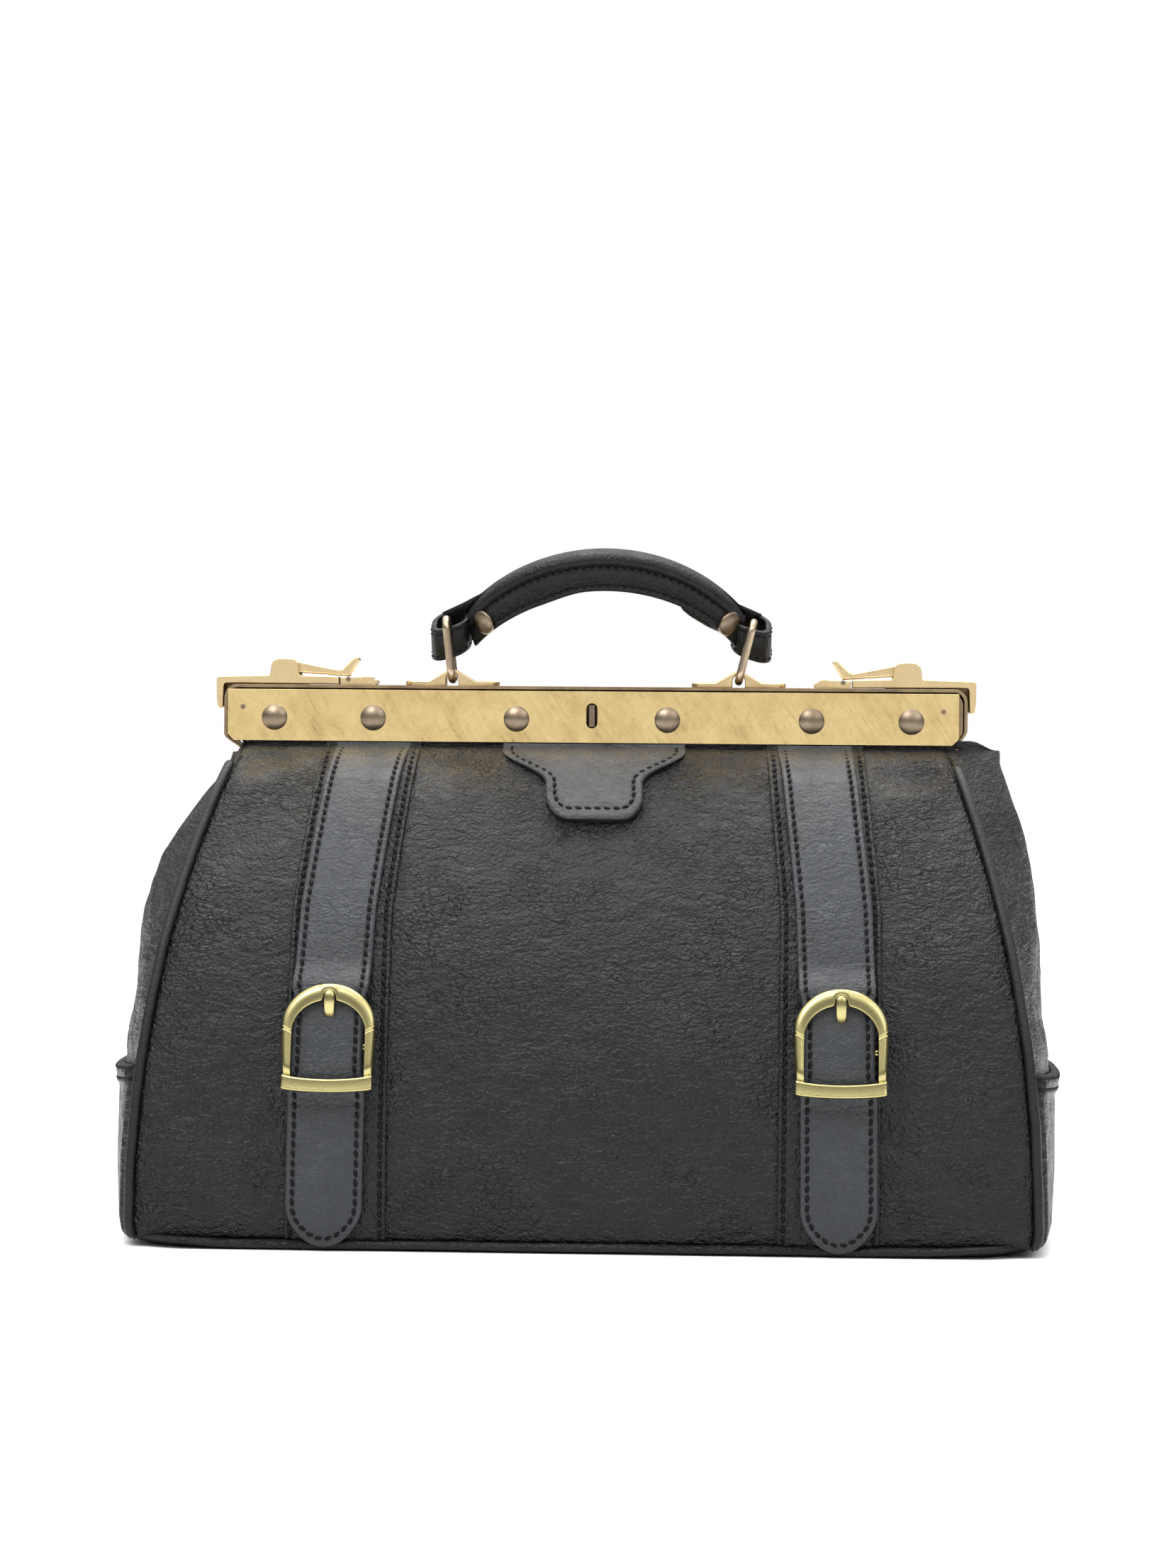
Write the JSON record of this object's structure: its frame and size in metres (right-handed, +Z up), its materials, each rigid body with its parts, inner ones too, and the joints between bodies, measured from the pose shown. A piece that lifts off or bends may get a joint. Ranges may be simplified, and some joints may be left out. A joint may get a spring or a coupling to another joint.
{
  "type": "doctor bag",
  "caption": "Small black leather doctor bag with a hinged brass frame, flip latches, ring-mounted handle and buckled front straps.",
  "frame": {"origin": "middle of the base, on the surface that the bag stands on", "axes": "+X along the frame to the right as seen from the front, +Y towards the back, +Z up"},
  "size_m": [0.3214, 0.1681, 0.2323],
  "materials": {
    "leather": "satin grained",
    "strap_leather": "satin smooth",
    "piping": "satin",
    "lining": "matte",
    "board": "matte",
    "brushed_brass": "brushed, lightly aged",
    "cast_brass": "satin cast",
    "antique_brass": "antique",
    "buckle_brass": "antique, polished",
    "steel": "satin",
    "thread": "waxed"
  },
  "bodies": {
    "bag": {"base_panel": "leather", "base_board": "board", "left_base_end": "leather", "right_base_end": "leather", "front_panel_lower": "leather", "back_panel_lower": "leather", "left_gusset_lower": "leather", "right_gusset_lower": "leather", "lining": "lining", "front_piping_lower": "piping", "back_piping_lower": "piping", "left_band_lower": "leather", "right_band_lower": "leather", "left_strap_lower": "strap_leather", "right_strap_lower": "strap_leather", "buckle_chapes": "strap_leather", "left_buckle_frame": "buckle_brass", "right_buckle_frame": "buckle_brass"},
    "front_frame": {"front_plate": "brushed_brass", "front_bow": "brushed_brass", "front_rivets": "antique_brass", "front_panel_upper": "leather", "front_left_gusset": "leather", "front_right_gusset": "leather", "front_piping_upper": "piping", "left_band_upper": "leather", "right_band_upper": "leather", "left_strap_upper": "strap_leather", "right_strap_upper": "strap_leather", "centre_tab": "strap_leather"},
    "back_frame": {"back_plate": "brushed_brass", "back_bow": "brushed_brass", "back_rivets": "antique_brass", "alignment_tongue": "antique_brass", "frame_hinge_pins": "steel", "back_panel_upper": "leather", "back_left_gusset": "leather", "back_right_gusset": "leather", "back_piping_upper": "piping", "left_latch_base": "cast_brass", "right_latch_base": "cast_brass", "latch_arm_pins": "antique_brass", "left_ring_mount": "brushed_brass", "right_ring_mount": "brushed_brass"},
    "left_latch_arm": {"left_latch_arm": "cast_brass", "left_lever_pin": "antique_brass"},
    "right_latch_arm": {"right_latch_arm": "cast_brass", "right_lever_pin": "antique_brass"},
    "left_latch_lever": {"left_latch_lever": "cast_brass"},
    "right_latch_lever": {"right_latch_lever": "cast_brass"},
    "left_ring": {"left_ring": "antique_brass"},
    "right_ring": {"right_ring": "antique_brass"},
    "handle": {"handle_grip": "strap_leather", "handle_core": "steel", "left_handle_tab": "strap_leather", "right_handle_tab": "strap_leather", "handle_rivets": "antique_brass"},
    "left_prong": {"left_prong": "buckle_brass"},
    "right_prong": {"right_prong": "buckle_brass"}
  },
  "joints": [
    {"name": "front_frame_open", "type": "hinge", "parent": "bag", "child": "front_frame", "pos_m": [0, 0, 0.105], "axis": [1, 0, 0], "range_deg": [0, 35]},
    {"name": "back_frame_open", "type": "hinge", "parent": "bag", "child": "back_frame", "pos_m": [0, 0, 0.105], "axis": [1, 0, 0], "range_deg": [-35, 0]},
    {"name": "left_latch_arm_lift", "type": "hinge", "parent": "back_frame", "child": "left_latch_arm", "pos_m": [-0.0846, 0, 0.1866], "axis": [0, 1, 0], "range_deg": [0, 6]},
    {"name": "right_latch_arm_lift", "type": "hinge", "parent": "back_frame", "child": "right_latch_arm", "pos_m": [0.0846, 0, 0.1866], "axis": [0, -1, 0], "range_deg": [0, 6]},
    {"name": "left_latch_lever_lift", "type": "hinge", "parent": "left_latch_arm", "child": "left_latch_lever", "pos_m": [-0.1073, 0, 0.1897], "axis": [0, -1, 0], "range_deg": [0, 60]},
    {"name": "right_latch_lever_lift", "type": "hinge", "parent": "right_latch_arm", "child": "right_latch_lever", "pos_m": [0.1073, 0, 0.1897], "axis": [0, 1, 0], "range_deg": [0, 60]},
    {"name": "left_ring_swing", "type": "hinge", "parent": "back_frame", "child": "left_ring", "pos_m": [-0.049, 0, 0.1869], "axis": [0, 1, 0], "range_deg": [-5, 8]},
    {"name": "right_ring_swing", "type": "hinge", "parent": "back_frame", "child": "right_ring", "pos_m": [0.049, 0, 0.1869], "axis": [0, 1, 0], "range_deg": [-3, 3]},
    {"name": "handle_tilt", "type": "hinge", "parent": "back_frame", "child": "handle", "pos_m": [0.0016, 0, 0.1994], "axis": [1, 0, 0], "range_deg": [-50, 0]},
    {"name": "left_prong_lift", "type": "hinge", "parent": "bag", "child": "left_prong", "pos_m": [-0.0825, -0.07659, 0.06652], "axis": [1, 0, 0], "range_deg": [0, 8]},
    {"name": "right_prong_lift", "type": "hinge", "parent": "bag", "child": "right_prong", "pos_m": [0.0825, -0.07659, 0.06652], "axis": [1, 0, 0], "range_deg": [0, 8]}
  ],
  "couplings": [
    {"joint": "back_frame_open", "follows": "front_frame_open", "ratio": -1},
    {"joint": "left_latch_lever_lift", "follows": "left_latch_arm_lift", "ratio": 10},
    {"joint": "right_latch_lever_lift", "follows": "right_latch_arm_lift", "ratio": 10}
  ]
}
